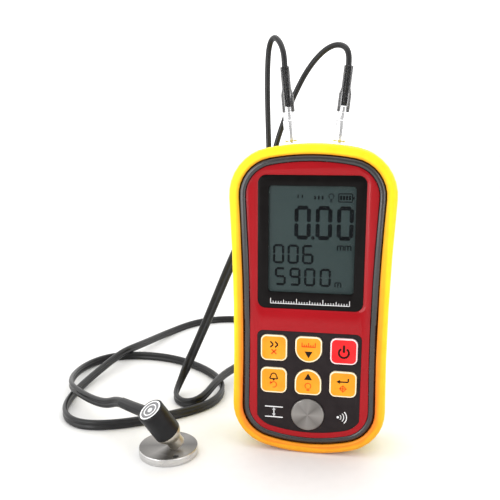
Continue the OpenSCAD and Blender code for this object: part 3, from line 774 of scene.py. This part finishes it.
def bulb(x, z):
    strokes(CAP_Y, arc_points(x, z - 1.9, 1.5, -145, 145, 12), 0.5)
    for low in (-3.5, -4.2):
        stroke(CAP_Y, (x - 0.8, z + low), (x + 0.8, z + low), 0.45)


def return_arrow(x, z):
    strokes(CAP_Y, [(x + 2.6, z + 3.4), (x + 2.6, z + 1.4), (x - 2.0, z + 1.4)], 0.7)
    solid_mark(CAP_Y, x - 2.1, z + 1.4, 1.2, 3, -90)


def sight(x, z):
    strokes(CAP_Y, arc_points(x, z - 2.2, 1.3, 0, 360, 14), 0.45)
    stroke(CAP_Y, (x - 2.0, z - 2.2), (x + 2.0, z - 2.2), 0.4)
    upright(CAP_Y, x, z - 4.2, z - 0.2, 0.4)


for node, black_sign, red_sign in (
    ("key_speed", double_chevron, cross),
    ("key_alarm", bell, turn_back),
    ("key_enter", return_arrow, sight),
    ("key_up", up_triangle, bulb),
    ("key_unit", down_triangle, ruler),
):
    key_print(node, "sign", BLACK_INK, black_sign)
    key_print(node, "second_sign", RED_INK, red_sign)
key_print("key_power", "sign", BLACK_INK, power_sign)

# Cords: routes in millimetres, as in the part's source
LEAD_D = 2.9 * MM
LEAD_LEFT = [
    (-13.7, 6, 175.8), (-14.9, 6, 187.5), (-15.6, 6.2, 194.5), (-16.2, 7.2, 200), (-17.3, 9, 204),
    (-19.2, 11.5, 207.6), (-21.6, 14.3, 209.8), (-23.8, 17, 209), (-25.3, 19.3, 205.6), (-26.1, 21, 200),
    (-26.5, 22.3, 192), (-26.6, 23.4, 182), (-26.4, 24.2, 170), (-26, 24.5, 157), (-26, 24.5, 147),
]
LEAD_RIGHT = [
    (13.7, 6, 175.8), (14.9, 6, 187.5), (15.5, 6.2, 194.5), (15.4, 7.4, 199.6), (14.2, 9, 203),
    (11.6, 11.5, 205), (8, 14.2, 205.4), (4, 17, 204), (0, 19.3, 201), (-4, 21, 196.6),
    (-8.4, 22.6, 190), (-13.6, 24, 179.6), (-19, 24.5, 166), (-22.6, 24.5, 153.6), (-23, 24.5, 147),
]
TWIN = [
    (-99.3, -11.2, 18.7), (-107, -4.2, 16.6), (-113.9, 0.1, 12), (-126.5, 8.3, 9.6),
    (-141.3, 19.8, 8.8), (-152.4, 29.8, 8.6), (-162, 58.8, 4.6), (-160, 86.1, 2.7),
    (-145.7, 99.3, 2.7), (-119, 102.9, 2.7), (-91.1, 94, 2.7), (-64.4, 71.2, 2.7),
    (-55.9, 47.3, 2.7), (-61.4, 25.5, 2.7), (-83.2, 8.2, 2.7), (-106, -5.8, 2.7),
    (-128.9, -10.6, 2.7), (-144.7, 3.6, 2.7), (-150.7, 31.4, 2.7), (-145.3, 73.7, 6),
    (-140.6, 91.9, 8.8), (-134.7, 108.1, 7.8), (-128.8, 152.4, 2.7), (-112.9, 188.2, 2.7),
    (-85.1, 205, 2.7), (-51.5, 197.3, 2.7), (-25.6, 174.5, 2.7), (-21.7, 146.7, 2.7),
    (-38.7, 113, 5), (-62.6, 65.1, 9.2), (-64.2, 28.6, 6.2), (-75.8, 25.7, 2.7),
    (-86, 34.9, 2.7), (-86.4, 48.3, 5.2), (-80.4, 55, 21), (-66, 46, 51),
    (-50, 33.5, 87), (-35, 26, 117.5), (-25.6, 24.6, 132.5), (-24.5, 24.5, 142),
]
STEPS = 6
CORE_HALF_TURN = 146
TWIN_LIE_Z = 10 * MM
TWIN_TURN_Z = 100 * MM


def passing(a, b, c, d, t):
    """A point on the curve that leads through b and c, at share t between them."""
    return (
        b + t / 2 * (c - a) + t * t * (a - 2.5 * b + 2 * c - d / 2)
        + t ** 3 * (1.5 * (b - c) + (d - a) / 2)
    )


def easing(a, b, c, d, t):
    """A point on the softer curve that b and c draw along, at share t between them."""
    return (
        a * (1 - t) ** 3 + b * (3 * t ** 3 - 6 * t * t + 4)
        + c * (-3 * t ** 3 + 3 * t * t + 3 * t + 1) + d * t ** 3
    ) / 6


def line_along(route, curve):
    """A route as one smooth line from its first point to its last."""
    points = [Vector(p) * MM for p in route]
    points = [2 * points[0] - points[1]] + points + [2 * points[-1] - points[-2]]
    line = []
    for a, b, c, d in zip(points, points[1:], points[2:], points[3:]):
        line += [curve(a, b, c, d, step / STEPS) for step in range(STEPS)]
    line.append(points[-2])
    return line


def round_section(radius, count=16):
    turns = [2 * math.pi * i / count for i in range(count)]
    return [(radius * math.cos(t), radius * math.sin(t)) for t in turns]


def twin_section(radius, count=10):
    """Two round cores side by side with a groove between them."""
    half = math.radians(CORE_HALF_TURN)
    turns = [-half + 2 * half * i / count for i in range(count + 1)]
    right = [(radius + radius * math.cos(t), radius * math.sin(t)) for t in turns]
    return right + [(-x, -z) for x, z in right]


def cord_mesh(name, line, section, width_way):
    """A tube swept along a line; width_way gives the way of the section's width at a point."""
    verts, faces = [], []
    count = len(section)
    for i, point in enumerate(line):
        ahead = (line[min(i + 1, len(line) - 1)] - line[max(i - 1, 0)]).normalized()
        across = width_way(ahead, point).normalized()
        above = across.cross(ahead)
        verts += [point + across * x + above * z for x, z in section]
    for i in range(len(line) - 1):
        for j in range(count):
            k = (j + 1) % count
            faces.append((i * count + j, i * count + k, (i + 1) * count + k, (i + 1) * count + j))
    faces.append(tuple(reversed(range(count))))
    faces.append(tuple((len(line) - 1) * count + j for j in range(count)))
    mesh = bpy.data.meshes.new(name)
    mesh.from_pydata(verts, [], faces)
    piece = bpy.data.objects.new(name, mesh)
    bpy.context.scene.collection.objects.link(piece)
    open_up(piece, "SELECT")
    bpy.ops.mesh.normals_make_consistent(inside=False)
    close_up()
    smooth(piece, 60)
    return piece


def twin_way(ahead, point):
    """On its edge near the ground, flat against the back of the case higher up."""
    share = max(0, min(1, (point.z - TWIN_LIE_Z) / (TWIN_TURN_Z - TWIN_LIE_Z)))
    edgeways = Vector((0, 0, 1)) - ahead * ahead.z
    return edgeways * (1 - share) + ahead.cross(Vector((0, 1, 0))) * share


twin_line = line_along(TWIN, easing)
for point in twin_line:
    point.z = max(point.z, LEAD_D)
twin = cord_mesh("twin_cable_skin", twin_line, twin_section(LEAD_D / 2), twin_way)
carry(twin, CABLE, replaced=("twin_cable",))

for side, route, sideways in (
    ("left", LEAD_LEFT, (0.84, 0.54, 0)),
    ("right", LEAD_RIGHT, (0.43, 0.9, 0)),
):
    line = list(reversed(line_along(route, passing)))
    lead = cord_mesh(
        f"lead_{side}_skin", line, round_section(LEAD_D / 2),
        lambda ahead, point: ahead.cross(Vector(sideways)),
    )
    carry(lead, CABLE, replaced=("lead_" + side,))

# Studio: pale floor, bright surroundings that are darker in front, soft lights
SKY_FRONT = 0.45
SKY_BACK = 1.65
bpy.ops.object.select_all(action="DESELECT")
bpy.ops.mesh.primitive_plane_add(size=12, location=(0, 3, 0))
floor = bpy.context.object
floor.name = "floor"
bpy.ops.object.transform_apply(location=True, rotation=True, scale=True)
floor.data.materials.append(
    moulded("floor_white", (0.72, 0.718, 0.714), (0.74, 0.738, 0.734), (0.55, 0.65), 0.01)
)
floor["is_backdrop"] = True

world = bpy.data.worlds.new("studio")
bpy.context.scene.world = world
world.use_nodes = True
sky = world.node_tree
around = sky.nodes.new("ShaderNodeTexCoord")
split = sky.nodes.new("ShaderNodeSeparateXYZ")
sky.links.new(around.outputs["Generated"], split.inputs["Vector"])
backdrop = sky.nodes["Background"]
backdrop.inputs["Color"].default_value = (1.0, 0.995, 0.985, 1)
shade = spread(sky, split.outputs["Y"], SKY_FRONT, SKY_BACK, -0.95, 0.15)
sky.links.new(shade, backdrop.inputs["Strength"])


def softbox(name, place, target, width, height, power):
    light = bpy.data.lights.new(name, "AREA")
    light.shape = "RECTANGLE"
    light.size = width
    light.size_y = height
    light.energy = power
    lamp = bpy.data.objects.new(name, light)
    bpy.context.scene.collection.objects.link(lamp)
    lamp.location = place
    lamp.rotation_euler = (Vector(target) - Vector(place)).to_track_quat("-Z", "Y").to_euler()


AIM = (-0.02, 0, 0.08)
softbox("left_strip", (-0.48, -0.36, 0.20), AIM, 0.4, 0.6, 1.5)
softbox("left_edge", (-0.32, -0.56, 0.14), AIM, 0.12, 0.6, 1.3)
softbox("right_strip", (0.50, -0.34, 0.18), AIM, 0.16, 0.6, 0.9)
softbox("top_box", (0.0, 0.05, 1.0), AIM, 1.0, 1.0, 3)

# Camera at the photograph's viewing angle
CAMERA_AT = (0.01988, -0.29972, 0.15980)
CAMERA_DOWN = 10.5
CAMERA_LEFT = 9.81
LENS_LENGTH = 43.2
camera_data = bpy.data.cameras.new("camera")
camera_data.sensor_width = 36
camera_data.lens = LENS_LENGTH
camera_data.clip_start = 0.01
camera = bpy.data.objects.new("camera", camera_data)
bpy.context.scene.collection.objects.link(camera)
camera.location = CAMERA_AT
camera.rotation_euler = (math.radians(90 - CAMERA_DOWN), 0, math.radians(CAMERA_LEFT))
bpy.context.scene.camera = camera
bpy.context.scene.view_settings.view_transform = "Standard"

low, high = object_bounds()
